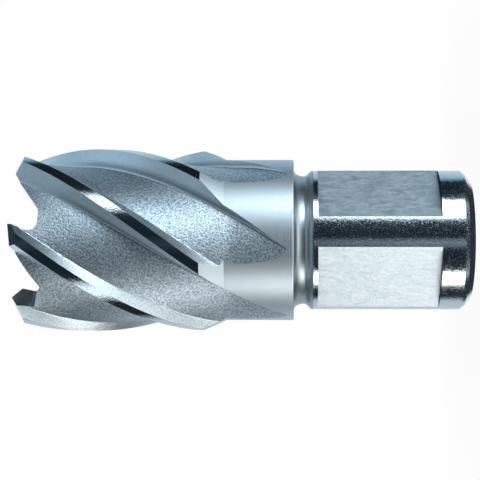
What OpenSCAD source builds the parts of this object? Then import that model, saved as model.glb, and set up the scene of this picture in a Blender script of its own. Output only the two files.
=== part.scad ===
// Annular cutter with a Weldon shank, turned and milled from one bar of high speed steel.
// It stands on its shank end: z = 0 is the end face, the axis is +Z and the teeth point up.
// The two clamping flats of the shank face +X and -Y.

/* [Shank] */
// Diameter of the ground shank
shank_d = 19.05; // [18:0.05:20]
// Length of the full round collar below the flats
collar_len = 4.4; // [3.5:0.1:6]
// Length of the clamping flats
flat_len = 16.3; // [14:0.1:18]
// Distance of the clamping flats from the axis
flat_dist = 8.0; // [7.6:0.05:8.6]
// Length of the round land between the flats and the neck
land_len = 0.6; // [0.4:0.1:2]
// Chamfer at the shank end, with a rounded edge
end_chamfer = 1.4; // [0.6:0.1:1.8]
// Diameter of the bore for the pilot pin
bore_d = 6.4; // [6:0.1:7]
// Chamfer at the mouth of the bore
bore_chamfer = 0.5; // [0.2:0.1:0.8]

/* [Neck and body] */
// Diameter of the neck groove behind the head
neck_d = 17.5; // [16.8:0.1:17.8]
// Length of the slope from the shank down to the neck
neck_slope = 1.9; // [1:0.1:2.5]
// Length of the neck groove
neck_len = 0.7; // [0.4:0.1:1.2]
// Diameter of the turned body behind the flutes
body_d = 22.0; // [21.6:0.1:22.4]
// Length of the turned body
body_len = 9.2; // [8:0.1:12]
// Length of the cone between the body and the cutting diameter
cone_len = 3.2; // [2:0.1:4]
// Chamfer at the back edge of the body
body_chamfer = 0.25; // [0.1:0.05:0.5]

/* [Cutting head] */
// Cutting diameter over the margins
cut_d = 25.0; // [24.6:0.1:25.6]
// Length of the fluted head at the cutting diameter, to the tooth tips
cut_len = 25.3; // [22:0.1:32]
// Diameter of the hollow that takes the core
core_d = 16.8; // [16.4:0.1:17.2]
// Depth of the hollow from the tooth tips
core_depth = 30; // [27:0.5:33]
// Number of teeth
teeth = 6; // [5:1:6]
// Lead of the right-hand flutes
lead = 110; // [95:1:130]
// Direction of the first leading edge at the tips
tooth_angle = 17.2; // [0:0.1:60]

/* [Flutes] */
// Share of the tooth pitch kept as round margin
margin_share = 0.112; // [0.09:0.002:0.17]
// Share of the tooth pitch at the foot of the trailing wall
heel_share = 0.24; // [0.22:0.005:0.34]
// Share of the tooth pitch at the foot of the leading wall
rake_share = 0.91; // [0.88:0.005:0.96]
// Depth of the flute at the trailing wall
flute_depth = 2.5; // [2:0.05:2.7]
// Depth of the flute at the leading wall
rake_depth = 1.25; // [1:0.05:1.6]
// Rise of the flute floor per millimetre where it runs out on the body
run_slope = 0.135; // [0.12:0.005:0.2]

/* [Teeth] */
// Radius of the tip ridge from the axis
ridge_r = 10.3; // [9.9:0.05:10.7]
// Slope of the outer tooth bevel
outer_bevel = 31; // [20:1:38]
// Slope of the inner tooth bevel
inner_bevel = 30; // [20:1:38]
// Clearance angle behind the cutting edges
clearance = 7; // [4:0.5:12]
// Depth of the gullets between the teeth
gullet_depth = 4.0; // [3.5:0.1:5]
// Slope of the tooth backs
back_slope = 35.5; // [30:0.5:42]
// Width of the gullet floor
gullet_floor = 2; // [1.5:0.1:2.5]
// Slant of the tooth faces to the axis
face_slant = 20; // [10:1:26]
// Lead of the tooth faces before the outer corners
face_lead = 3; // [1:0.5:5]
// Radius in the bottom of the gullets
gullet_round = 1.1; // [0.6:0.1:1.2]

/* [Hidden] */
$fn = 96;
shank_r = shank_d / 2;
neck_r = neck_d / 2;
body_r = body_d / 2;
cut_r = cut_d / 2;
core_r = core_d / 2;
bore_r = bore_d / 2;
pitch = 360 / teeth;
flat_z = collar_len;
slope_z = collar_len + flat_len + land_len;
groove_z = slope_z + neck_slope;
body_z = groove_z + neck_len;
cone_z = body_z + body_len;
cut_z = cone_z + cone_len;
tip_z = cut_z + cut_len;
core_z = tip_z - core_depth;
spare = 0.7;
twist = 360 / lead;
helix_step = 5;

// Half section of the turned blank, with a little spare height above the tips
module blank_section() {
    polygon([
        [bore_r + bore_chamfer, 0],
        [shank_r - end_chamfer, 0],
        [shank_r - 0.23 * end_chamfer, 0.63 * end_chamfer],
        [shank_r, end_chamfer],
        [shank_r, slope_z],
        [shank_r - 0.15 * (shank_r - neck_r), slope_z + 0.22 * neck_slope],
        [shank_r - 0.80 * (shank_r - neck_r), slope_z + 0.70 * neck_slope],
        [neck_r, groove_z],
        [neck_r, body_z],
        [body_r - body_chamfer, body_z],
        [body_r, body_z + body_chamfer],
        [body_r, cone_z],
        [cut_r, cut_z],
        [cut_r, tip_z + spare],
        [core_r, tip_z + spare],
        [core_r, core_z],
        [bore_r, core_z],
        [bore_r, bore_chamfer]
    ]);
}

// The two flats for the clamping screws
module flats() {
    for (turn = [0, -90])
        rotate([0, 0, turn])
            translate([flat_dist, -shank_d, flat_z])
                cube([shank_d, 2 * shank_d, flat_len]);
}

// Flute section as pairs of angle behind the leading edge and radius
margin_a = margin_share * pitch;
heel_a = heel_share * pitch;
rake_a = rake_share * pitch;
foot_r = cut_r - flute_depth;
base_r = cut_r - rake_depth;
over = 0.7;
shell = 1.8;
wall_steps = 4;
floor_steps = 6;
rake_steps = 3;
function wall_point(t) = [
    margin_a + (heel_a - margin_a) * t,
    foot_r + flute_depth * (1 - pow(t, 0.92))
];
function floor_point(t) = [
    heel_a + (rake_a - heel_a) * t,
    foot_r + (base_r - foot_r) * pow(t, 1.5)
];
function rake_point(t) = [
    rake_a + (pitch - rake_a) * t,
    base_r + rake_depth * pow(t, 1.15)
];
flute_section = concat(
    [[margin_a, cut_r + over]],
    [for (i = [1 : wall_steps - 1]) wall_point(i / wall_steps)],
    [for (i = [0 : floor_steps - 1]) floor_point(i / floor_steps)],
    [for (i = [0 : rake_steps - 1]) rake_point(i / rake_steps)],
    [rake_point(1 + over / rake_depth)],
    [for (i = [1 : 5]) [pitch + (margin_a - pitch) * i / 6, cut_r + shell]]
);
// The end faces of a flute fan out from the middle of its outer arc
fan_point = len(flute_section) - 3;

// Heights of the flute sections: the run-out on the body, then the full head
run_z = cone_z - 0.85;
run_len = (body_r - foot_r + 0.12) / run_slope;
run_steps = ceil(run_len * twist / helix_step);
head_len = tip_z + spare + 0.6 - run_z;
head_steps = ceil(head_len * twist / helix_step);
flute_heights = concat(
    [for (i = [0 : run_steps - 1]) run_z - run_len * (1 - i / run_steps)],
    [for (i = [0 : head_steps]) run_z + head_len * i / head_steps]
);

// One helical flute, which rises out of the body at its lower end
module flute() {
    n = len(flute_section);
    m = len(flute_heights);
    points = [
        for (z = flute_heights)
            for (p = flute_section)
                let (a = (z - tip_z) * twist - p[0])
                let (r = p[1] + max(0, run_z - z) * run_slope)
                    [r * cos(a), r * sin(a), z]
    ];
    sides = [
        for (j = [0 : m - 2])
            for (i = [0 : n - 1])
                let (k = (i + 1) % n)
                    each [
                        [j * n + i, (j + 1) * n + k, j * n + k],
                        [j * n + i, (j + 1) * n + i, (j + 1) * n + k]
                    ]
    ];
    ends = [
        for (i = [1 : n - 2])
            let (k = (fan_point + i) % n)
            let (l = (fan_point + i + 1) % n)
                each [
                    [fan_point, k, l],
                    [(m - 1) * n + fan_point, (m - 1) * n + l, (m - 1) * n + k]
                ]
    ];
    polyhedron(points, concat(sides, ends));
}

// Corner filled up to a tangent circle: corner, centre of the circle and its two tangent points
module corner_fill(corner, centre, first, second) {
    difference() {
        polygon([corner, first, centre, second]);
        translate(centre) circle(r = gullet_round);
    }
}

// Gullet in front of one tooth: slanted tooth face, round floor and the sloping back of the next tooth
module gullet_outline() {
    top = spare + 1;
    face_u = gullet_depth * tan(face_slant);
    back_u = gullet_floor + (gullet_depth + top) / tan(back_slope);
    face_t = gullet_round / tan(45 - face_slant / 2);
    back_t = gullet_round * tan(back_slope / 2);
    face_corner = [-face_u, -gullet_depth];
    back_corner = [gullet_floor, -gullet_depth];
    difference() {
        polygon([
            [top * tan(face_slant), top],
            face_corner,
            back_corner,
            [back_u, top]
        ]);
        corner_fill(
            face_corner,
            face_corner + [face_t, gullet_round],
            face_corner + [face_t, 0],
            face_corner + face_t * [sin(face_slant), cos(face_slant)]
        );
        corner_fill(
            back_corner,
            back_corner + [-back_t, gullet_round],
            back_corner + [-back_t, 0],
            back_corner + back_t * [cos(back_slope), sin(back_slope)]
        );
    }
}

module gullet() {
    translate([core_r * 0.5, 0, tip_z])
        rotate([90, 0, 90])
            linear_extrude(height = cut_r)
                gullet_outline();
}

// Roof over one tooth: outer and inner bevel that fall away behind the cutting edge
module tooth_roof() {
    reach_in = 2.9;
    reach_out = 3.2;
    translate([0, 0, tip_z])
        rotate([clearance, 0, 0])
            translate([0, 2, 0])
                rotate([90, 0, 0])
                    linear_extrude(height = 8.5)
                        polygon([
                            [ridge_r, 0],
                            [ridge_r + reach_out, -reach_out * tan(outer_bevel)],
                            [ridge_r + reach_out, 3],
                            [ridge_r - reach_in, 3],
                            [ridge_r - reach_in, -reach_in * tan(inner_bevel)]
                        ]);
}

// Places a cut at one tooth
module at_tooth(k) {
    rotate([0, 0, tooth_angle + k * pitch]) children();
}

// The blank after its first flutes, gullets and tooth roofs are cut, one after the other
module fluted(count) {
    if (count == 0)
        difference() {
            rotate_extrude() blank_section();
            flats();
        }
    else
        difference() {
            fluted(count - 1);
            at_tooth(count - 1) flute();
        }
}

module gashed(count) {
    if (count == 0)
        fluted(teeth);
    else
        difference() {
            gashed(count - 1);
            at_tooth(count - 1) rotate([0, 0, face_lead]) gullet();
        }
}

module roofed(count) {
    if (count == 0)
        gashed(teeth);
    else
        difference() {
            roofed(count - 1);
            at_tooth(count - 1) rotate([0, 0, face_lead]) tooth_roof();
        }
}

// The whole cutter is one piece
module cutter() {
    color([0.62, 0.65, 0.67]) roofed(teeth);
}

cutter();
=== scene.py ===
import math

import bpy
import numpy as np
from mathutils import Matrix, Vector


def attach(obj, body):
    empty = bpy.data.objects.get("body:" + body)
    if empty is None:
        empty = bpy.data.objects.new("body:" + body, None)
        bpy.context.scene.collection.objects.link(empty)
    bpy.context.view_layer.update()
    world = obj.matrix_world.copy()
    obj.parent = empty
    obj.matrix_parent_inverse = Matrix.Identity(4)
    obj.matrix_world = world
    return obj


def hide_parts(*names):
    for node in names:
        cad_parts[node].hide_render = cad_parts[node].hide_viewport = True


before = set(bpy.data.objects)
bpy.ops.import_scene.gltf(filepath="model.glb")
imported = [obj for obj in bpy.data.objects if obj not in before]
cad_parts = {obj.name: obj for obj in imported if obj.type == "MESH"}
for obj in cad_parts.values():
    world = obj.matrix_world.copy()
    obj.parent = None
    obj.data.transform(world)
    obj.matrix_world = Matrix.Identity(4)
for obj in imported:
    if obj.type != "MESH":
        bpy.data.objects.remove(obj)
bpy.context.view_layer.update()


# Turned blank
# One bar of high speed steel, turned to its outline, drilled for the pilot pin and bored for the core.
# The shank and the cutting diameter are ground bright afterwards; body, cone and neck stay as turned.
# Sizes are in millimetres until the piece is finished.
SHANK_R, BORE_R, CORE_R, NECK_R, BODY_R, CUT_R = 9.525, 3.2, 8.4, 8.75, 11.0, 12.5
SLOPE_Z, GROOVE_Z, BODY_Z, CONE_Z, CUT_Z, TIP_Z, CORE_Z = 21.3, 23.2, 23.9, 33.1, 36.3, 61.6, 31.6
END_CHAMFER, EDGE_IN, EDGE_UP, BORE_CHAMFER = 1.4, 0.32, 0.88, 0.5
FILLET_OUT, FILLET_DOWN, BODY_EDGE = 0.9, 0.7, 0.22
SPARE = 0.7
AROUND = 288


def group(name, inputs, outputs):
    """An empty shader node group with named sockets; returns the tree and its two end nodes."""
    tree = bpy.data.node_groups.new(name, "ShaderNodeTree")
    for socket, kind in inputs:
        tree.interface.new_socket(socket, in_out="INPUT", socket_type=kind)
    for socket, kind in outputs:
        tree.interface.new_socket(socket, in_out="OUTPUT", socket_type=kind)
    return tree, tree.nodes.new("NodeGroupInput"), tree.nodes.new("NodeGroupOutput")


def lines_around():
    """Fine lines round the axis from turning or grinding, with a little unevenness along each line."""
    tree, start, end = group(
        "lines_around",
        [(socket, "NodeSocketFloat") for socket in ("Fineness", "Depth", "Smooth", "Rough")],
        [("Height", "NodeSocketFloat"), ("Roughness", "NodeSocketFloat"), ("Normal", "NodeSocketVector")],
    )
    place = tree.nodes.new("ShaderNodeTexCoord")
    stretch = tree.nodes.new("ShaderNodeCombineXYZ")
    stretch.inputs["X"].default_value = 60
    stretch.inputs["Y"].default_value = 60
    scaled = tree.nodes.new("ShaderNodeVectorMath")
    scaled.operation = "MULTIPLY"
    noise = tree.nodes.new("ShaderNodeTexNoise")
    noise.inputs["Scale"].default_value = 1
    noise.inputs["Detail"].default_value = 3
    bump = tree.nodes.new("ShaderNodeBump")
    bump.inputs["Distance"].default_value = 0.00004
    rough = tree.nodes.new("ShaderNodeMapRange")
    tree.links.new(start.outputs["Fineness"], stretch.inputs["Z"])
    tree.links.new(place.outputs["Object"], scaled.inputs[0])
    tree.links.new(stretch.outputs["Vector"], scaled.inputs[1])
    tree.links.new(scaled.outputs["Vector"], noise.inputs["Vector"])
    tree.links.new(noise.outputs["Fac"], bump.inputs["Height"])
    tree.links.new(start.outputs["Depth"], bump.inputs["Strength"])
    tree.links.new(noise.outputs["Fac"], rough.inputs["Value"])
    tree.links.new(start.outputs["Smooth"], rough.inputs["To Min"])
    tree.links.new(start.outputs["Rough"], rough.inputs["To Max"])
    tree.links.new(noise.outputs["Fac"], end.inputs["Height"])
    tree.links.new(rough.outputs["Result"], end.inputs["Roughness"])
    tree.links.new(bump.outputs["Normal"], end.inputs["Normal"])
    return tree


def speckle():
    """The fine grain of a milled or ground face: a tone, a colour and a normal that go together."""
    tree, start, end = group(
        "speckle",
        [("Scale", "NodeSocketFloat"), ("Depth", "NodeSocketFloat")]
        + [("Dark", "NodeSocketColor"), ("Light", "NodeSocketColor")],
        [("Tone", "NodeSocketFloat"), ("Color", "NodeSocketColor"), ("Normal", "NodeSocketVector")],
    )
    place = tree.nodes.new("ShaderNodeTexCoord")
    noise = tree.nodes.new("ShaderNodeTexNoise")
    noise.inputs["Detail"].default_value = 2
    bump = tree.nodes.new("ShaderNodeBump")
    bump.inputs["Distance"].default_value = 0.0001
    tone = tree.nodes.new("ShaderNodeMapRange")
    tone.inputs["From Min"].default_value = 0.32
    tone.inputs["From Max"].default_value = 0.68
    blend = tree.nodes.new("ShaderNodeMix")
    blend.data_type = "RGBA"
    tree.links.new(place.outputs["Object"], noise.inputs["Vector"])
    tree.links.new(start.outputs["Scale"], noise.inputs["Scale"])
    tree.links.new(noise.outputs["Fac"], bump.inputs["Height"])
    tree.links.new(start.outputs["Depth"], bump.inputs["Strength"])
    tree.links.new(noise.outputs["Fac"], tone.inputs["Value"])
    tree.links.new(tone.outputs["Result"], blend.inputs["Factor"])
    tree.links.new(start.outputs["Dark"], blend.inputs["A"])
    tree.links.new(start.outputs["Light"], blend.inputs["B"])
    tree.links.new(tone.outputs["Result"], end.inputs["Tone"])
    tree.links.new(blend.outputs["Result"], end.inputs["Color"])
    tree.links.new(bump.outputs["Normal"], end.inputs["Normal"])
    return tree


around = lines_around()
grain = speckle()


def effect(tree, made, **values):
    """Places a node group in a material, with its own values."""
    node = tree.nodes.new("ShaderNodeGroup")
    node.node_tree = made
    for socket, value in values.items():
        node.inputs[socket].default_value = value
    return node


def steel(name, color, roughness, metallic=1):
    """A bare steel material with its shader, ready for the marks of one way of working it."""
    made = bpy.data.materials.new(name)
    made.use_nodes = True
    tree = made.node_tree
    shader = tree.nodes["Principled BSDF"]
    shader.inputs["Base Color"].default_value = (*color, 1)
    shader.inputs["Metallic"].default_value = metallic
    shader.inputs["Roughness"].default_value = roughness
    return made, tree, shader


def turned(name, color, smooth, rough, fineness, depth, metallic=1):
    """Steel with lines round the axis in its normal and its roughness."""
    made, tree, shader = steel(name, color, smooth, metallic)
    lines = effect(tree, around, Fineness=fineness, Depth=depth, Smooth=smooth, Rough=rough)
    tree.links.new(lines.outputs["Roughness"], shader.inputs["Roughness"])
    tree.links.new(lines.outputs["Normal"], shader.inputs["Normal"])
    return made


def ground(name, smooth, rough):
    """Bright steel with very fine lines round the axis, and flecks that the wheel has left less smooth."""
    made, tree, shader = steel(name, (0.60, 0.68, 0.72), smooth)
    lines = effect(tree, around, Fineness=14000)
    fleck = effect(tree, grain, Scale=7000)
    height = tree.nodes.new("ShaderNodeMath")
    height.operation = "ADD"
    bump = tree.nodes.new("ShaderNodeBump")
    bump.inputs["Strength"].default_value = 0.10
    bump.inputs["Distance"].default_value = 0.00006
    spread = tree.nodes.new("ShaderNodeMapRange")
    spread.inputs["From Min"].default_value = 0.4
    spread.inputs["To Min"].default_value = smooth
    spread.inputs["To Max"].default_value = rough
    tree.links.new(fleck.outputs["Tone"], height.inputs[0])
    tree.links.new(lines.outputs["Height"], height.inputs[1])
    tree.links.new(height.outputs["Value"], bump.inputs["Height"])
    tree.links.new(fleck.outputs["Tone"], spread.inputs["Value"])
    tree.links.new(spread.outputs["Result"], shader.inputs["Roughness"])
    tree.links.new(bump.outputs["Normal"], shader.inputs["Normal"])
    return made


ground_shank = ground("ground_shank", 0.09, 0.285)
turned_satin = turned("turned_satin", (0.61, 0.70, 0.75), 0.42, 0.54, 6000, 0.14)
bored_inside = turned("bored_inside", (0.40, 0.43, 0.45), 0.37, 0.53, 3000, 0.3, 0.35)
# The neck's darker colour is painted shade for its recess between shank and head
turned_neck = turned("turned_neck", (0.37, 0.43, 0.46), 0.31, 0.41, 6000, 0.10)
ground_margin = ground("ground_margin", 0.09, 0.17)
round_steels = [ground_shank, turned_satin, bored_inside, turned_neck, ground_margin]


def solid(name, points, faces, materials, marks):
    """A mesh made of points and faces; marks gives the material of each face."""
    mesh = bpy.data.meshes.new(name)
    mesh.from_pydata([tuple(p) for p in points], [], faces)
    for m in materials:
        mesh.materials.append(m)
    mesh.polygons.foreach_set("material_index", marks)
    mesh.update()
    made = bpy.data.objects.new(name, mesh)
    bpy.context.scene.collection.objects.link(made)
    return made


def arc(centre, radius, first, last, count):
    """Points of an arc in the half section, angles in degrees."""
    turn = np.radians(np.linspace(first, last, count))
    return [(centre[0] + radius * math.cos(t), centre[1] + radius * math.sin(t)) for t in turn]


fillet_z = GROOVE_Z - FILLET_DOWN
neck_slope = [
    (SHANK_R - (SHANK_R - NECK_R) * (0.5 - 0.5 * math.cos(math.pi * t)), SLOPE_Z + (fillet_z - SLOPE_Z) * t)
    for t in np.linspace(0, 1, 25)
]
neck_fillet = [
    (NECK_R + FILLET_OUT + FILLET_OUT * math.cos(t), fillet_z + (BODY_Z - fillet_z) * math.sin(t))
    for t in np.radians(np.linspace(180, 90, 21))
]
runs = [
    (bored_inside, [(BORE_R, BORE_CHAMFER), (BORE_R + BORE_CHAMFER, 0)]),
    (ground_shank, [(SHANK_R - END_CHAMFER, 0), (SHANK_R - EDGE_IN, EDGE_UP), (SHANK_R, END_CHAMFER)]),
    (ground_shank, [(SHANK_R, SLOPE_Z)]),
    (turned_neck, neck_slope[1:] + neck_fillet[1:]),
    (turned_satin, arc((BODY_R - BODY_EDGE, BODY_Z + BODY_EDGE), BODY_EDGE, -80, 0, 5)),
    (turned_satin, [(BODY_R, CONE_Z), (CUT_R, CUT_Z)]),
    (ground_margin, [(CUT_R, TIP_Z + SPARE)]),
    (bored_inside, [(CORE_R, TIP_Z + SPARE), (CORE_R, CORE_Z), (BORE_R, CORE_Z)]),
]
outline = [p for _, run in runs for p in run]
finish = [round_steels.index(m) for m, run in runs for _ in run]
turns = np.radians(np.arange(AROUND) * 360 / AROUND)
points = [(r * math.cos(t), r * math.sin(t), z) for r, z in outline for t in turns]
faces, marks = [], []
for i in range(len(outline)):
    j = (i + 1) % len(outline)
    for k in range(AROUND):
        m = (k + 1) % AROUND
        faces.append((i * AROUND + k, i * AROUND + m, j * AROUND + m, j * AROUND + k))
        marks.append(finish[j])
cutter = solid("cutter_steel", points, faces, round_steels, marks)


# Clamping flats
# Two flats milled across the shank with an end mill, one for each clamping screw of the holder.
# They are left as milled: a satin face with faint streaks from the feed of the mill. The end walls are
# painted dark as shade, in their colour and their specular tint.
FLAT_DIST, FLAT_Z, FLAT_END = 8.0, 4.4, 20.7
CLEAR = 15


def milled():
    """Satin steel with faint streaks along the shank in its colour, its roughness and its normal."""
    made, tree, shader = steel("milled_flat", (0.60, 0.70, 0.76), 0.42)
    place = tree.nodes.new("ShaderNodeTexCoord")
    stretch = tree.nodes.new("ShaderNodeMapping")
    stretch.inputs["Scale"].default_value = (1, 1, 0.5)
    streak = tree.nodes.new("ShaderNodeTexNoise")
    streak.inputs["Scale"].default_value = 1300
    streak.inputs["Detail"].default_value = 6
    streak.inputs["Roughness"].default_value = 0.68
    streak.inputs["Distortion"].default_value = 0.9
    tone = tree.nodes.new("ShaderNodeValToRGB")
    tone.color_ramp.elements[0].position = 0.36
    tone.color_ramp.elements[0].color = (0.60, 0.70, 0.76, 1)
    tone.color_ramp.elements[1].position = 0.62
    tone.color_ramp.elements[1].color = (0.81, 0.89, 0.935, 1)
    bump = tree.nodes.new("ShaderNodeBump")
    bump.inputs["Strength"].default_value = 0.30
    bump.inputs["Distance"].default_value = 0.0002
    rough = tree.nodes.new("ShaderNodeMapRange")
    rough.inputs["From Min"].default_value = 0.3
    rough.inputs["From Max"].default_value = 0.7
    rough.inputs["To Min"].default_value = 0.44
    rough.inputs["To Max"].default_value = 0.56
    tree.links.new(place.outputs["Object"], stretch.inputs["Vector"])
    tree.links.new(stretch.outputs["Vector"], streak.inputs["Vector"])
    tree.links.new(streak.outputs["Fac"], tone.inputs["Fac"])
    tree.links.new(streak.outputs["Fac"], bump.inputs["Height"])
    tree.links.new(streak.outputs["Fac"], rough.inputs["Value"])
    tree.links.new(tone.outputs["Color"], shader.inputs["Base Color"])
    tree.links.new(bump.outputs["Normal"], shader.inputs["Normal"])
    tree.links.new(rough.outputs["Result"], shader.inputs["Roughness"])
    return made


def grained(name, dark, light, roughness, scale, depth, metallic=1):
    """Steel with a fine grain in its colour and its normal."""
    made, tree, shader = steel(name, light, roughness, metallic)
    marks = effect(tree, grain, Scale=scale, Depth=depth, Dark=(*dark, 1), Light=(*light, 1))
    tree.links.new(marks.outputs["Color"], shader.inputs["Base Color"])
    tree.links.new(marks.outputs["Normal"], shader.inputs["Normal"])
    return made


def cut(piece, tool):
    """Takes the tool away from the piece; the new faces keep the material of the tool."""
    step = piece.modifiers.new("cut", "BOOLEAN")
    step.operation = "DIFFERENCE"
    step.solver = "MANIFOLD"
    step.material_mode = "TRANSFER"
    step.object = tool
    graph = bpy.context.evaluated_depsgraph_get()
    result = bpy.data.meshes.new_from_object(piece.evaluated_get(graph))
    piece.modifiers.clear()
    old = piece.data
    piece.data = result
    bpy.data.meshes.remove(old)
    bpy.data.objects.remove(tool)


def prism(name, section, lower, upper, sides, ends, place):
    """A section in its own plane, pushed from one depth to the other and then put in place."""
    n = len(section)
    points = [place @ Vector((u, v, w)) for w in (lower, upper) for u, v in section]
    faces = [tuple(reversed(range(n))), tuple(range(n, 2 * n))]
    faces += [(i, (i + 1) % n, n + (i + 1) % n, n + i) for i in range(n)]
    return solid(name, points, faces, [sides, ends], [1, 1] + [0] * n)


milled_flat = milled()
# The end walls of the flats: painted shade, a dark colour and a dark specular tint
painted_shade_step = grained("painted_shade_step", (0.10, 0.13, 0.15), (0.16, 0.19, 0.21), 0.3, 2800, 0.2)
step_shader = painted_shade_step.node_tree.nodes["Principled BSDF"]
step_shader.inputs["Specular Tint"].default_value = (0.03, 0.04, 0.05, 1)
block = [(FLAT_DIST, -CLEAR), (CLEAR, -CLEAR), (CLEAR, CLEAR), (FLAT_DIST, CLEAR)]
for turn in (0, -90):
    at = Matrix.Rotation(math.radians(turn), 4, "Z")
    cut(cutter, prism("flat", block, FLAT_Z, FLAT_END, milled_flat, painted_shade_step, at))


# Flutes
# Six right-hand flutes milled along the head: a steep smooth wall behind each margin, a wide grainy
# floor, and a narrow bright wall ahead of the next margin. The mill climbs out on the turned body.
# Shade is painted into them as a dark colour, most at the foot of the wall, in a line on the floor beside
# it and on the floors toward the tips.
TEETH, LEAD, FIRST = 6, 110.0, 17.2
PITCH, TWIST = 360 / TEETH, 360 / LEAD
MARGIN_A, HEEL_A, RAKE_A = 0.112 * PITCH, 0.24 * PITCH, 0.91 * PITCH
FOOT_R, BASE_R = CUT_R - 2.5, CUT_R - 1.25
WALL_BEND, FLOOR_BEND, RAKE_BEND = 0.92, 1.5, 1.15
RUN_Z, RUN_SLOPE = CONE_Z - 0.85, 0.135
OVER, SHELL = 0.7, 1.8


def flute_painted_shade():
    """Painted shade in the flutes, which darkens a colour by the share that the mesh gives for each place.
    """
    tree, start, end = group(
        "flute_painted_shade",
        [("Color", "NodeSocketColor"), ("Share", "NodeSocketFloat")],
        [("Color", "NodeSocketColor")],
    )
    foot = tree.nodes.new("ShaderNodeAttribute")
    foot.attribute_name = "foot"
    share = tree.nodes.new("ShaderNodeMath")
    share.operation = "MULTIPLY"
    cover = tree.nodes.new("ShaderNodeMix")
    cover.data_type = "RGBA"
    # The dark colour of the painted shade
    cover.inputs["B"].default_value = (0.10, 0.13, 0.15, 1)
    tree.links.new(foot.outputs["Fac"], share.inputs[0])
    tree.links.new(start.outputs["Share"], share.inputs[1])
    tree.links.new(share.outputs["Value"], cover.inputs["Factor"])
    tree.links.new(start.outputs["Color"], cover.inputs["A"])
    tree.links.new(cover.outputs["Result"], end.inputs["Color"])
    return tree


flute_shade = flute_painted_shade()


def painted_shade_over(made, share):
    """Lays the painted shade over the colour of a steel."""
    tree = made.node_tree
    base = tree.nodes["Principled BSDF"].inputs["Base Color"]
    cover = effect(tree, flute_shade, Share=share)
    tree.links.new(base.links[0].from_socket, cover.inputs["Color"])
    tree.links.new(cover.outputs["Color"], base)
    return made


wall_steel = grained("flute_wall", (0.70, 0.82, 0.88), (0.78, 0.89, 0.95), 0.36, 2500, 0.06, 0.88)
# The walls and floors of the flutes get painted shade, by the share of each place
wall_steel = painted_shade_over(wall_steel, 0.7)
floor_steel = grained("flute_floor", (0.24, 0.33, 0.39), (0.72, 0.81, 0.87), 0.49, 4000, 0.65)
floor_steel = painted_shade_over(floor_steel, 0.38)
rake_steel = grained("flute_rake", (0.40, 0.48, 0.52), (0.64, 0.72, 0.76), 0.34, 5000, 0.4)
flute_steels = [wall_steel, floor_steel, rake_steel]


def wall_point(t):
    """Angle behind the leading edge and radius, from the margin down the trailing wall."""
    return MARGIN_A + (HEEL_A - MARGIN_A) * t, FOOT_R + (CUT_R - FOOT_R) * (1 - t**WALL_BEND)


def floor_point(t):
    """Angle and radius from the foot of the trailing wall across the floor."""
    return HEEL_A + (RAKE_A - HEEL_A) * t, FOOT_R + (BASE_R - FOOT_R) * t**FLOOR_BEND


def rake_point(t):
    """Angle and radius from the floor up the leading wall to the next margin."""
    return RAKE_A + (PITCH - RAKE_A) * t, BASE_R + (CUT_R - BASE_R) * t**RAKE_BEND


section = [(MARGIN_A, CUT_R + OVER, 0)]
section += [(*wall_point(t), 0) for t in np.linspace(0, 1, 17)[1:]]
section += [(*floor_point(t), 1) for t in np.linspace(0, 1, 33)[1:] ** 1.3]
section += [(*rake_point(t), 2) for t in np.linspace(0, 1, 9)[1:-1]]
section += [(*rake_point(1 + OVER / (CUT_R - BASE_R)), 2)]
section += [(PITCH + (MARGIN_A - PITCH) * i / 12, CUT_R + SHELL, 2) for i in range(1, 12)]
run_length = (BODY_R - FOOT_R + 0.12) / RUN_SLOPE
heights = list(np.linspace(RUN_Z - run_length, RUN_Z, 28)[:-1])
heights += list(np.linspace(RUN_Z, TIP_Z + SPARE + 0.6, 84))
n = len(section)
for tooth in range(TEETH):
    points, faces, marks = [], [], []
    for z in heights:
        for a, r, _ in section:
            t = math.radians((z - TIP_Z) * TWIST - a + FIRST + tooth * PITCH)
            out = r + max(0, RUN_Z - z) * RUN_SLOPE
            points.append((out * math.cos(t), out * math.sin(t), z))
    for j in range(len(heights) - 1):
        for i in range(n):
            k = (i + 1) % n
            faces.append((j * n + i, j * n + k, (j + 1) * n + k, (j + 1) * n + i))
            marks.append(section[k][2])
    faces += [tuple(reversed(range(n))), tuple(range((len(heights) - 1) * n, len(heights) * n))]
    marks += [1, 1]
    cut(cutter, solid("flute", points, faces, flute_steels, marks))


# Gullets and tooth bevels
# A slanted tooth face, a round gullet and a sloping back are ground into the rim ahead of each tooth.
# The round bottom is left satin. Then an outer and an inner bevel are ground on each tooth, falling away
# behind the cutting edge.
RIDGE_R, OUTER, INNER, CLEARANCE = 10.3, math.radians(31), math.radians(30), math.radians(7)
GULLET, FLOOR_W, ROUND = 4.0, 2.0, 1.1
BACK, SLANT, AHEAD = math.radians(35.5), math.radians(20), 3
ROOF_OUT, ROOF_IN, ROOF_UP = 3.2, 2.9, 3
ROOF_FROM, ROOF_TO = -2, 6.5
FACE_ROUND, BACK_ROUND, GROUND_ROUND = 15, 7, 3

tooth_steel = grained("ground_tooth", (0.40, 0.47, 0.51), (0.48, 0.55, 0.59), 0.18, 2800, 0.08)
round_steel = grained("gullet_round", (0.66, 0.74, 0.77), (0.76, 0.84, 0.87), 0.45, 2800, 0.12, 0.4)
bevel_steel = grained("ground_bevel", (0.44, 0.51, 0.55), (0.52, 0.59, 0.63), 0.14, 2800, 0.05)

top = SPARE + 1
face_corner = Vector((-GULLET * math.tan(SLANT), -GULLET))
back_corner = Vector((FLOOR_W, -GULLET))
face_reach = ROUND / math.tan(math.radians(45) - SLANT / 2)
back_reach = ROUND * math.tan(BACK / 2)
gullet = [(top * math.tan(SLANT), top)]
gullet += arc(face_corner + Vector((face_reach, ROUND)), ROUND, 180 - math.degrees(SLANT), 270, FACE_ROUND)
gullet += arc(back_corner + Vector((-back_reach, ROUND)), ROUND, 270, 270 + math.degrees(BACK), BACK_ROUND)
gullet += [(FLOOR_W + (GULLET + top) / math.tan(BACK), top)]
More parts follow.
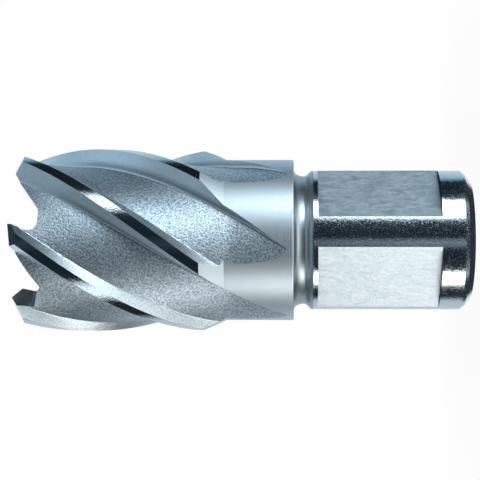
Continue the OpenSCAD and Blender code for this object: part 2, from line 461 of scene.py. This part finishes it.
# A prism has its two ends first, then a face from each point of its section to the next
round_first = 2 + 1 + GROUND_ROUND
round_last = 2 + FACE_ROUND + BACK_ROUND
roof = [(RIDGE_R, 0), (RIDGE_R + ROOF_OUT, -ROOF_OUT * math.tan(OUTER)), (RIDGE_R + ROOF_OUT, ROOF_UP)]
roof += [(RIDGE_R - ROOF_IN, ROOF_UP), (RIDGE_R - ROOF_IN, -ROOF_IN * math.tan(INNER))]
upright = Matrix.Rotation(math.radians(90), 4, "X")
at_teeth = [
    Matrix.Rotation(math.radians(FIRST + tooth * PITCH + AHEAD), 4, "Z") @ Matrix.Translation((0, 0, TIP_Z))
    for tooth in range(TEETH)
]
for at in at_teeth:
    across = at @ Matrix.Rotation(math.radians(90), 4, "Z") @ upright
    inner = CORE_R * 0.5
    wheel = prism("gullet", gullet, inner, inner + CUT_R, tooth_steel, round_steel, across)
    for face in wheel.data.polygons[round_first:round_last]:
        face.material_index = 1
    cut(cutter, wheel)
for at in at_teeth:
    along = at @ Matrix.Rotation(CLEARANCE, 4, "X") @ upright
    cut(cutter, prism("roof", roof, ROOF_FROM, ROOF_TO, bevel_steel, bevel_steel, along))


# Finished cutter
# The one piece of steel, with the true normals of its turned and helical faces, so that bands of light run
# along it without facets. A small fillet, which only the normals show, catches light at the foot of each
# trailing wall, between painted shade on the wall and a dark line of painted shade on the floor.
FOOT_LEAN = -0.575
# Where shade is painted in the flutes: on the wall above its foot, in a line on the floor beside it, and on
# the floors toward the tips
WALL_SHADE, WALL_SHADE_END, WALL_SHADE_GAP = 2.6, 1.2, 0.4
LINE_AT, LINE_HALF, LINE_DEPTH = 0.8, 0.9, 2.2
TIP_SHADE_Z, TIP_SHADE_LEN, TIP_SHADE_A, TIP_SHADE_WIDTH = 43, 9, 2, 16
TIP_SHADE_FADE_Z, TIP_SHADE_FADE_LEN = 50, 7


def eased(t):
    """A soft step from 0 to 1."""
    t = np.clip(t, 0, 1)
    return t * t * (3 - 2 * t)


mesh = cutter.data
count = len(mesh.loops)
corner = np.zeros(count, int)
mesh.loops.foreach_get("vertex_index", corner)
spots = np.zeros(len(mesh.vertices) * 3)
mesh.vertices.foreach_get("co", spots)
spot = spots.reshape(-1, 3)[corner]
height = spot[:, 2]
sides = np.zeros(len(mesh.polygons), int)
mesh.polygons.foreach_get("loop_total", sides)
kinds = np.zeros(len(mesh.polygons), int)
mesh.polygons.foreach_get("material_index", kinds)
kinds = kinds.repeat(sides)
flat = np.array([p.normal for p in mesh.polygons]).repeat(sides, axis=0)
middle = np.array([p.center for p in mesh.polygons]).repeat(sides, axis=0)
slots = [m.name for m in mesh.materials]
radius = np.hypot(spot[:, 0], spot[:, 1])
outward = spot[:, :2] / radius[:, None]
normal = flat.copy()

# Turned faces keep the lean of each flat facet, turned straight outward at each corner
round_faces = np.isin(kinds, [slots.index(m.name) for m in round_steels])
lean = np.hypot(flat[:, 0], flat[:, 1]) * np.sign((flat[:, :2] * middle[:, :2]).sum(1))
normal[round_faces, :2] = (outward * lean[:, None])[round_faces]

# Flute faces take theirs from the flute's section and its helix, and the share of painted shade from the
# place in the section
behind = ((height - TIP_Z) * TWIST + FIRST - np.degrees(np.arctan2(spot[:, 1], spot[:, 0]))) % PITCH
climb = RUN_SLOPE * eased((RUN_Z + 0.8 - height) / 1.6)
foot = np.zeros(count)
shade_left = 1 - eased((height - TIP_SHADE_FADE_Z) / TIP_SHADE_FADE_LEN)
for m in flute_steels:
    here = kinds == slots.index(m.name)
    a = behind[here]
    r = radius[here]
    if m is wall_steel:
        width = HEEL_A - MARGIN_A
        t = np.clip((a - MARGIN_A) / width, 0.02, 1)
        rise = -WALL_BEND * (CUT_R - FOOT_R) * t ** (WALL_BEND - 1)
        above = HEEL_A - a
        # Painted shade on the wall, darkest toward its foot but stopping just short of it, and fading out
        # near the tips
        foot[here] = np.clip(1 - (above - WALL_SHADE_END) / WALL_SHADE, 0, 1)
        foot[here] *= np.clip((above - WALL_SHADE_GAP) / (WALL_SHADE_END - WALL_SHADE_GAP), 0, 1) * shade_left[here]
    elif m is floor_steel:
        width = RAKE_A - HEEL_A
        t = np.clip((a - HEEL_A) / width, 0, 1)
        rise = FLOOR_BEND * (BASE_R - FOOT_R) * t ** (FLOOR_BEND - 1)
        # A dark line of painted shade on the floor beside the foot of the wall
        line = LINE_DEPTH * np.clip(1 - np.abs(a - HEEL_A - LINE_AT) / LINE_HALF, 0, 1) * shade_left[here]
        # Painted shade on the floors toward the tips
        near_tip = eased((height[here] - TIP_SHADE_Z) / TIP_SHADE_LEN)
        near_tip *= eased((a - HEEL_A - TIP_SHADE_A) / TIP_SHADE_WIDTH)
        foot[here] = np.maximum(line, near_tip)
    else:
        width = PITCH - RAKE_A
        t = np.clip((np.where(a < PITCH / 2, a + PITCH, a) - RAKE_A) / width, 0, 1)
        rise = RAKE_BEND * (CUT_R - BASE_R) * t ** (RAKE_BEND - 1)
    arc_rate = r * math.radians(width)
    if m is not rake_steel:
        rise = np.where(np.abs(a - HEEL_A) < 0.1, FOOT_LEAN * arc_rate, rise)
    out = np.column_stack([outward[here], np.zeros(len(a))])
    along = np.column_stack([-out[:, 1], out[:, 0], np.zeros(len(a))])
    over = out * rise[:, None] - along * arc_rate[:, None]
    up = along * (r * math.radians(TWIST))[:, None] - out * climb[here][:, None] + np.array([0, 0, 1.0])
    facing = np.cross(over, up)
    normal[here] = facing * np.sign((facing * flat[here]).sum(1))[:, None]
normal /= np.linalg.norm(normal, axis=1)[:, None]
mesh.polygons.foreach_set("use_smooth", [True] * len(mesh.polygons))
mesh.attributes.new("foot", "FLOAT", "CORNER").data.foreach_set("value", foot)
mesh.transform(Matrix.Scale(0.001, 4))
mesh.normals_split_custom_set(normal.tolist())
mesh.update()

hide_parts("cutter")
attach(cutter, "root")


# Studio
# A white table and backdrop, two soft boxes in two lengths beside the camera and one past the shank end,
# and dark and grey cards that the bright steel mirrors as bands along the tool. The tool lies along the
# picture, so the camera is rolled. Sizes are in metres; angles go from the camera toward the picture's top.
VIEW = math.radians(38.3)
LAMP_R, TENT_R, TENT_LOW, TENT_TOP = 0.24, 0.26, -0.13, 0.24
HEAD_LOW, SIDE_LOW, GAP_TOP = 0.035, -0.33, 0.018
toward = Vector((math.sin(VIEW), -math.cos(VIEW), 0))
image_up = Vector((math.cos(VIEW), math.sin(VIEW), 0))


def around_tool(angle, radius, z):
    """A place around the tool, by its angle, its distance from the axis and its height."""
    turn = math.radians(angle)
    return toward * math.cos(turn) * radius + image_up * math.sin(turn) * radius + Vector((0, 0, z))


for name, angle, z, drop, width, length, light, shade in (
    ("upper_end", 51, -0.054, 0, 0.108, 0.152, 6.2, (0.80, 0.92, 1.0)),
    ("upper_head", 46.8, 0.083, 0, 0.071, 0.036, 3.1, (0.95, 0.98, 1.0)),
    ("lower_end", -65, -0.0475, 0, 0.088, 0.165, 3.75, (0.975, 0.94, 0.91)),
    ("lower_head", -65, 0.083, 0, 0.088, 0.036, 1.6, (0.95, 0.99, 1.0)),
    ("end", 10, -0.20, 55, 0.24, 0.18, 1.05, (0.95, 0.99, 1.0)),
):
    lamp = bpy.data.lights.new(name + "_softbox", "AREA")
    lamp.shape = "RECTANGLE"
    lamp.size = width
    lamp.size_y = length
    lamp.energy = light * math.pi * width * length
    lamp.color = shade
    held = bpy.data.objects.new(name + "_softbox", lamp)
    level = math.cos(math.radians(drop))
    aim = around_tool(angle, level, -math.sin(math.radians(drop)))
    side = Vector((0, 0, 1)).cross(aim).normalized()
    held.matrix_world = Matrix((side, aim.cross(side), aim)).transposed().to_4x4()
    held.matrix_world.translation = around_tool(angle, LAMP_R * level, z)
    bpy.context.scene.collection.objects.link(held)


def card(name, shade, points, faces):
    """A card or screen of the studio, which only bright metal sees."""
    paper = bpy.data.materials.new(name)
    paper.use_nodes = True
    tree = paper.node_tree
    tree.nodes.remove(tree.nodes["Principled BSDF"])
    glow = tree.nodes.new("ShaderNodeEmission")
    glow.inputs["Color"].default_value = (*shade, 1)
    tree.links.new(glow.outputs["Emission"], tree.nodes["Material Output"].inputs["Surface"])
    held = solid(name, points, faces, [paper], [0] * len(faces))
    held.visible_camera = False
    held.visible_diffuse = False
    held.visible_shadow = False


def strip(name, shade, first, last, rims, count):
    """A bent card between two angles and between two rims, each a distance from the axis and a height."""
    turns = [first + (last - first) * i / count for i in range(count + 1)]
    places = [around_tool(turn, radius, z) for radius, z in rims for turn in turns]
    card(name, shade, places, [(i, i + 1, count + 2 + i, count + 1 + i) for i in range(count)])


for name, first, last, low, high, shade in (
    ("front_card", -2, 39, TENT_LOW, TENT_TOP, (0.012, 0.021, 0.030)),
    ("camera_gap", -8, -2, TENT_LOW, GAP_TOP, (0.48, 0.55, 0.64)),
    ("camera_gap_head", -8, -2, GAP_TOP, TENT_TOP, (0.055, 0.075, 0.095)),
    ("front_card_low", -55, -8, TENT_LOW, TENT_TOP, (0.012, 0.021, 0.030)),
    ("upper_card", 63, 116, TENT_LOW, TENT_TOP, (0.010, 0.017, 0.023)),
    ("lower_card", -112, -75, TENT_LOW, TENT_TOP, (0.014, 0.022, 0.027)),
    ("upper_gap_head", 39, 55, HEAD_LOW, TENT_TOP, (0.22, 0.29, 0.34)),
    ("upper_card_head", 55, 63, HEAD_LOW, TENT_TOP, (0.010, 0.017, 0.023)),
    ("lower_gap_head", -75, -55, HEAD_LOW, TENT_TOP, (0.22, 0.27, 0.30)),
    ("upper_low_side", 86, 150, SIDE_LOW, TENT_LOW, (0.03, 0.04, 0.05)),
    ("lower_low_side", -150, -86, SIDE_LOW, TENT_LOW, (0.03, 0.04, 0.05)),
    ("upper_screen", 116, 132, TENT_LOW, TENT_TOP, (0.42, 0.65, 0.82)),
    ("upper_side", 132, 160, TENT_LOW, TENT_TOP, (0.64, 0.76, 0.82)),
    ("lower_screen", -160, -112, TENT_LOW, TENT_TOP, (0.64, 0.72, 0.76)),
):
    strip(name, shade, first, last, [(TENT_R, low), (TENT_R, high)], 12)
for name, first, last, inner, outer, shade in (
    ("top_screen", -90, 180, 0.205, TENT_R, (0.40, 0.58, 0.70)),
    ("top_screen_low", -180, -90, 0.205, TENT_R, (0.80, 0.94, 1.0)),
    ("top_inner", -110, 110, 0.045, 0.09, (0.27, 0.37, 0.45)),
    ("top_upper", 20, 110, 0.09, 0.205, (0.36, 0.52, 0.66)),
    ("top_lower", -110, 20, 0.09, 0.205, (0.12, 0.17, 0.22)),
):
    strip(name, shade, first, last, [(inner, TENT_TOP), (outer, TENT_TOP)], (last - first) // 10)
ring = [around_tool(i * 10, 0.205, TENT_TOP + 0.001) for i in range(36)]
card("top_card", (0.04, 0.055, 0.07), ring, [tuple(range(36))])
ring = [around_tool(i * 10, 0.118, TENT_LOW) for i in range(36)]
ring = [p + toward * (0.61 * p.dot(toward) - 0.10) for p in ring]
card("end_card", (0.03, 0.04, 0.05), ring, [tuple(range(36))])

# The table is white paint that keeps the shadow at the foot of the tool and fades to plain white
table = bpy.data.materials.new("white_table")
table.use_nodes = True
tree = table.node_tree
tree.nodes.remove(tree.nodes["Principled BSDF"])
paint = tree.nodes.new("ShaderNodeBsdfDiffuse")
paint.inputs["Color"].default_value = (0.9, 0.9, 0.9, 1)
glow = tree.nodes.new("ShaderNodeEmission")
ray = tree.nodes.new("ShaderNodeLightPath")
seen = tree.nodes.new("ShaderNodeMath")
seen.operation = "ADD"
place = tree.nodes.new("ShaderNodeTexCoord")
reach = tree.nodes.new("ShaderNodeVectorMath")
reach.operation = "LENGTH"
fade = tree.nodes.new("ShaderNodeMapRange")
fade.interpolation_type = "SMOOTHSTEP"
fade.inputs["From Min"].default_value = 0.01
fade.inputs["From Max"].default_value = 0.07
fade.inputs["To Min"].default_value = 0.92
most = tree.nodes.new("ShaderNodeMath")
most.operation = "MULTIPLY"
blend = tree.nodes.new("ShaderNodeMixShader")
tree.links.new(ray.outputs["Is Camera Ray"], seen.inputs[0])
tree.links.new(ray.outputs["Is Transmission Ray"], seen.inputs[1])
tree.links.new(place.outputs["Object"], reach.inputs[0])
tree.links.new(reach.outputs["Value"], fade.inputs["Value"])
tree.links.new(seen.outputs["Value"], most.inputs[0])
tree.links.new(fade.outputs["Result"], most.inputs[1])
tree.links.new(most.outputs["Value"], blend.inputs["Fac"])
tree.links.new(paint.outputs["BSDF"], blend.inputs[1])
tree.links.new(glow.outputs["Emission"], blend.inputs[2])
tree.links.new(blend.outputs["Shader"], tree.nodes["Material Output"].inputs["Surface"])
rim = [(0.4 * math.cos(math.radians(i * 5)), 0.4 * math.sin(math.radians(i * 5)), 0) for i in range(72)]
floor = solid("table", rim, [tuple(range(72))], [table], [0])
floor.visible_glossy = False
floor.visible_shadow = False

# The backdrop is plain white where the camera or bright metal sees it, and lights the rest a little less
world = bpy.data.worlds.new("backdrop")
bpy.context.scene.world = world
world.use_nodes = True
tree = world.node_tree
back = tree.nodes["Background"]
back.inputs["Color"].default_value = (1, 1, 1, 1)
ray = tree.nodes.new("ShaderNodeLightPath")
seen = tree.nodes.new("ShaderNodeMath")
seen.operation = "ADD"
more = tree.nodes.new("ShaderNodeMath")
more.operation = "ADD"
level = tree.nodes.new("ShaderNodeMapRange")
level.inputs["To Min"].default_value = 0.7
level.inputs["To Max"].default_value = 1.0
tree.links.new(ray.outputs["Is Camera Ray"], seen.inputs[0])
tree.links.new(ray.outputs["Is Glossy Ray"], seen.inputs[1])
tree.links.new(seen.outputs["Value"], more.inputs[0])
tree.links.new(ray.outputs["Is Transmission Ray"], more.inputs[1])
tree.links.new(more.outputs["Value"], level.inputs["Value"])
tree.links.new(level.outputs["Result"], back.inputs["Strength"])

EYE_Z, EYE_DIST, AIM_Z = 0.0244, 0.200, 0.0313
eye = bpy.data.objects.new("camera", bpy.data.cameras.new("camera"))
bpy.context.scene.collection.objects.link(eye)
eye.data.sensor_width = 36
eye.data.lens = 109
eye.data.clip_start = 0.01
stand = Vector((0, 0, EYE_Z)) + toward * EYE_DIST
back_axis = (stand - Vector((0, 0, AIM_Z))).normalized()
axes = Matrix((image_up.cross(back_axis), image_up, back_axis)).transposed()
eye.matrix_world = Matrix.Translation(stand) @ axes.to_4x4()
bpy.context.scene.camera = eye
bpy.context.scene.view_settings.view_transform = "Standard"
